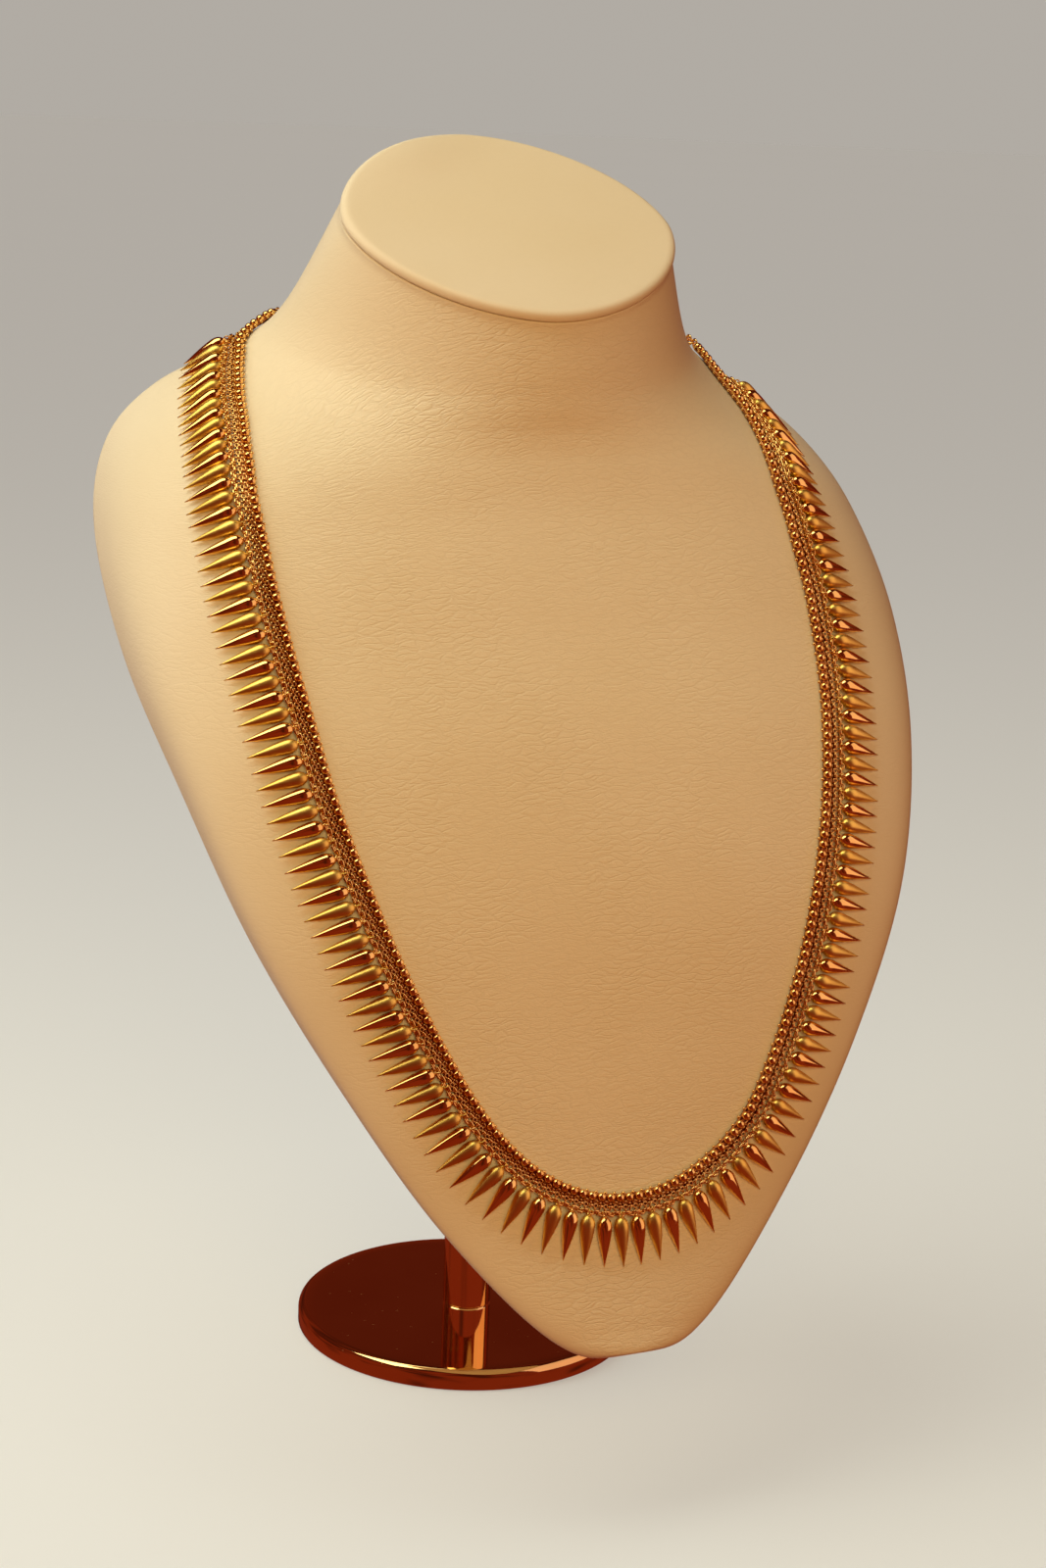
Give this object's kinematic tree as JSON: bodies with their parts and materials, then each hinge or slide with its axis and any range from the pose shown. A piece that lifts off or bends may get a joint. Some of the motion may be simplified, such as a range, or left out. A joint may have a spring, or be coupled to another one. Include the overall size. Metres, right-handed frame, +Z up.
{
  "type": "necklace on a neck bust with a brass stand",
  "caption": "Long bud fringe necklace on a padded neck bust that stands on a round brass base.",
  "frame": {"origin": "centre of the base plate's underside", "axes": "+Z up, -Y towards the front of the bust, +X to the right of someone looking at the front"},
  "size_m": [0.2496, 0.2082, 0.3932],
  "materials": {
    "brass": "polished",
    "leatherette": "fine grain, matt",
    "polished_gold": "gold plated, mirror polished",
    "satin_gold": "gold plated, satin"
  },
  "bodies": {
    "root": {"base_plate": "brass", "post": "brass", "neck_form": "leatherette", "neck_cap": "leatherette", "bead_band_left": "polished_gold", "bead_band_right": "polished_gold", "bud_chain_left": "polished_gold", "bud_chain_right": "polished_gold", "satin_buds": "satin_gold", "polished_buds": "polished_gold", "band_end_left": "polished_gold", "band_end_right": "polished_gold", "back_chain_left": "polished_gold", "back_chain_right": "polished_gold", "clasp": "polished_gold"}
  },
  "joints": []
}
